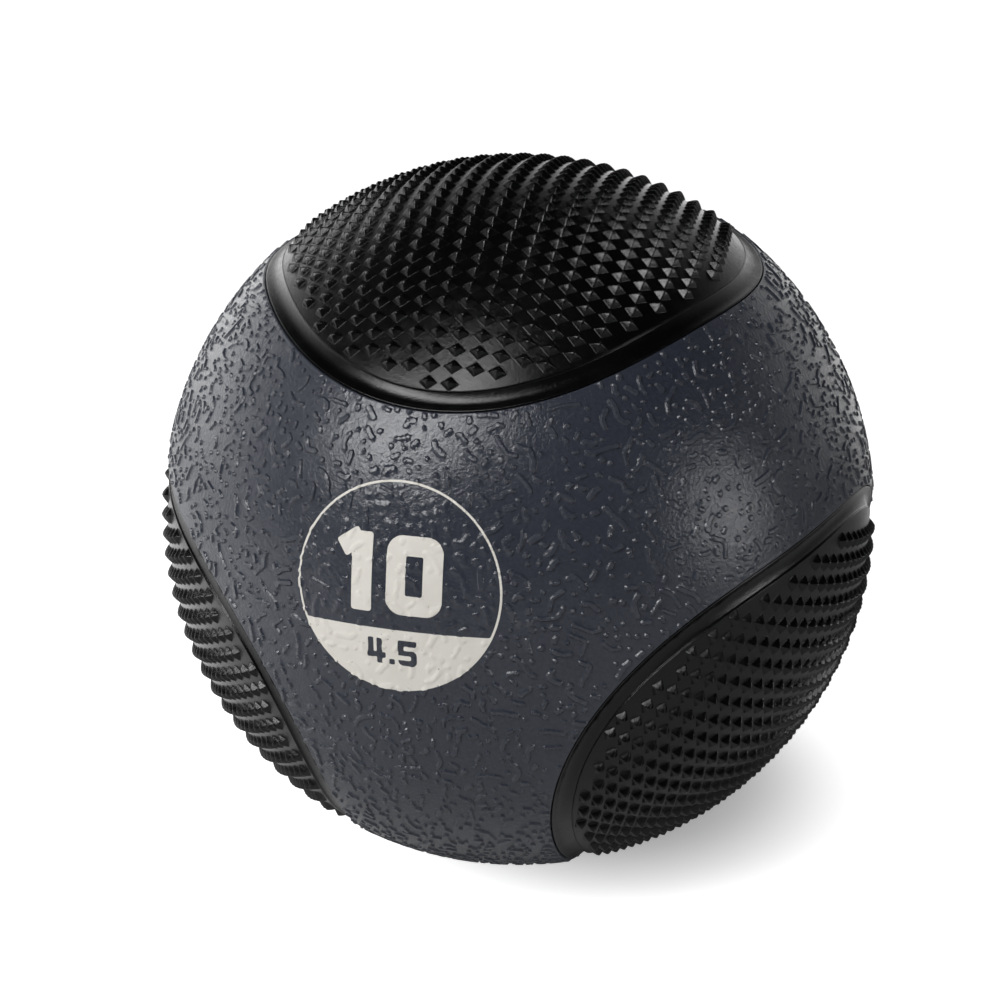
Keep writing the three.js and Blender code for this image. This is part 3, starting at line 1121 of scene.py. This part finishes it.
def floor_paper():
    """White paper that reads as plain white to the camera, with one painted soft shadow and a
    painted glow behind the ball.
    """
    n = Paint("pale_floor")
    path = n.new("ShaderNodeLightPath")
    seen = path.outputs["Is Camera Ray"]
    bounce = n.mix(path.outputs["Is Glossy Ray"], (PAPER_BOUNCE,) * 3, (PAPER_GLOSS,) * 3)
    paper = n.mix(n.noise(3, detail=2), (PAPER_SEEN - 0.01,) * 3, (PAPER_SEEN + 0.01,) * 3)
    # Painted shadow: the camera's glow is dimmer near a centre beside the ball.
    centre = (*PAINTED_SHADOW_CENTRE, FLOOR_Z)
    away = n.new("ShaderNodeVectorMath", {0: n.place, 1: centre}, operation="DISTANCE")
    glow = n.remap(away.outputs["Value"], PAINTED_SHADOW_CORE, PAINTED_SHADOW_REACH, PAINTED_SHADOW_GLOW, OPEN_GLOW)
    glow.node.interpolation_type = "SMOOTHSTEP"
    # Painted light: behind and left of the ball the paper glows to every ray but the camera's.
    way = n.new("ShaderNodeVectorMath", {0: n.place, 1: PAINTED_GLOW_WAY}, operation="DOT_PRODUCT")
    painted_back_glow = n.remap(way.outputs["Value"], PAINTED_GLOW_NEAR, PAINTED_GLOW_FAR, 0.0, PAINTED_GLOW_LEVEL)
    unseen = n.math("SUBTRACT", 1.0, seen)
    glow = n.math("ADD", n.math("MULTIPLY", glow, seen), n.math("MULTIPLY", painted_back_glow, unseen))
    n.put(n.shader.inputs["Emission Strength"], glow)
    n.put(n.shader.inputs["Emission Color"], (1, 1, 1, 1))
    roughness = n.remap(n.noise(8, detail=2), NOISE_LOW, NOISE_HIGH, 0.75, 0.85)
    normal = n.bump(n.noise(400, detail=2), 0.02 * MM, 0.2)
    return n.finish(n.mix(seen, bounce, paper), roughness, normal, gloss=0)


# ---------------------------------------------------------------- assembly

grey = grey_rubber()
black = black_rubber()

web = build_web(grey)
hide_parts("cover_web")
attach(web, "root")
build_panels(black)
build_badge(badge_ink())

inside = {
    "weight_shell_valve_half": plain_rubber(
        "filled_rubber", (0.020, 0.020, 0.021), (0.034, 0.033, 0.033), 0.6, 0.8, 1200
    ),
    "nylon_winding": wound_nylon(),
    "bladder": plain_rubber("butyl", (0.010, 0.010, 0.011), (0.020, 0.020, 0.021), 0.4, 0.6, 900),
    "valve_housing": plain_rubber(
        "valve_rubber", (0.009, 0.009, 0.010), (0.016, 0.016, 0.017), 0.4, 0.5, 2000
    ),
    "valve_core": plain_rubber(
        "plug_rubber", (0.23, 0.15, 0.055), (0.30, 0.20, 0.08), 0.4, 0.55, 2000
    ),
}
inside["weight_shell_plain_half"] = inside["weight_shell_valve_half"]
for node, material in inside.items():
    for material_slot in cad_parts[node].material_slots:
        material_slot.link = "OBJECT"
        material_slot.material = material

# ---------------------------------------------------------------- floor, light and camera

CAMERA_ELEVATION = 20 * DEG
# The distance from the ball's centre, in radii of the ball.
CAMERA_DISTANCE = 4.17
LENS = 51.66
SENSOR = 36
SHIFT_X = -0.0187
SHIFT_Y = 0.0091
FLOOR_SIZE = 6.0
FLOOR_CELLS = 4
# The floor lies this far under the ball's flat, so that they don't share a plane.
FLOOR_DROP = 0.05 * MM


def build_floor(material):
    """A square of paper under the ball."""
    mesh = bpy.data.meshes.new("floor")
    shape = bmesh.new()
    bmesh.ops.create_grid(shape, x_segments=FLOOR_CELLS, y_segments=FLOOR_CELLS, size=FLOOR_SIZE)
    bmesh.ops.translate(shape, verts=shape.verts, vec=(0, 0, FLOOR_Z - FLOOR_DROP))
    shape.to_mesh(mesh)
    shape.free()
    floor = add_object("floor", mesh)
    mesh.materials.append(material)


def softbox(name, direction, distance, width, height, radiance):
    """An area light that faces the ball from a direction. Its sides and distance are in metres."""
    data = bpy.data.lights.new(name, "AREA")
    data.shape = "RECTANGLE"
    data.size = width
    data.size_y = height
    data.energy = radiance * math.pi * width * height
    light = add_object(name, data)
    place = Vector(unit(direction)) * distance
    light.location = place
    light.rotation_euler = (-place).to_track_quat("-Z", "Y").to_euler()


# Each light's name, way, distance, width, height and radiance.
LIGHTS = (
    ("main", (-0.268, -0.595, 0.77), 1.0, 0.21, 0.45, 10),
    ("side", (-0.60, -0.56, 0.57), 1.0, 0.32, 0.38, 11),
    ("right", (0.887, -0.447, 0.16), 1.1, 0.12, 0.40, 11),
)

# What the ball mirrors: white paper behind it, brighter on the left, dark in front and above.
BACK_LEVEL = 1.3
FRONT_LEVEL = 0.03
LEFT_GAIN = 1.9
RIGHT_GAIN = 0.5
# Where the paper fades out upwards and forwards, as parts of a direction of length 1.
FADE_UP = (0.05, 0.70)
FADE_FORWARD = (-0.15, 0.55)


def build_world():
    """The studio round the ball. To the camera it is plain white."""
    world = bpy.data.worlds.new("studio")
    bpy.context.scene.world = world
    world.use_nodes = True
    w = Tree(world.node_tree)
    sky = w.tree.nodes["Background"]
    w.put(sky.inputs["Color"], (1, 1, 1, 1))
    place = w.new("ShaderNodeTexCoord").outputs["Generated"]
    split = w.new("ShaderNodeSeparateXYZ", {"Vector": place})
    low = w.remap(split.outputs["Z"], *FADE_UP, 1.0, 0.0)
    back = w.remap(split.outputs["Y"], *FADE_FORWARD, FRONT_LEVEL, BACK_LEVEL)
    side = w.remap(split.outputs["X"], -1.0, 1.0, LEFT_GAIN, RIGHT_GAIN)
    level = w.math("MULTIPLY", w.math("MULTIPLY", low, back), side)
    seen = w.new("ShaderNodeLightPath").outputs["Is Camera Ray"]
    w.put(sky.inputs["Strength"], w.math("MAXIMUM", level, seen))


build_floor(floor_paper())
build_world()
for light in LIGHTS:
    softbox(*light)

camera_data = bpy.data.cameras.new("camera")
camera_data.lens = LENS
camera_data.sensor_width = SENSOR
camera_data.shift_x = SHIFT_X
camera_data.shift_y = SHIFT_Y
camera = add_object("camera", camera_data)
camera.location = (
    0,
    -CAMERA_DISTANCE * BALL * math.cos(CAMERA_ELEVATION),
    CAMERA_DISTANCE * BALL * math.sin(CAMERA_ELEVATION),
)
camera.rotation_euler = (90 * DEG - CAMERA_ELEVATION, 0, 0)
bpy.context.scene.camera = camera
bpy.context.scene.view_settings.view_transform = "Standard"
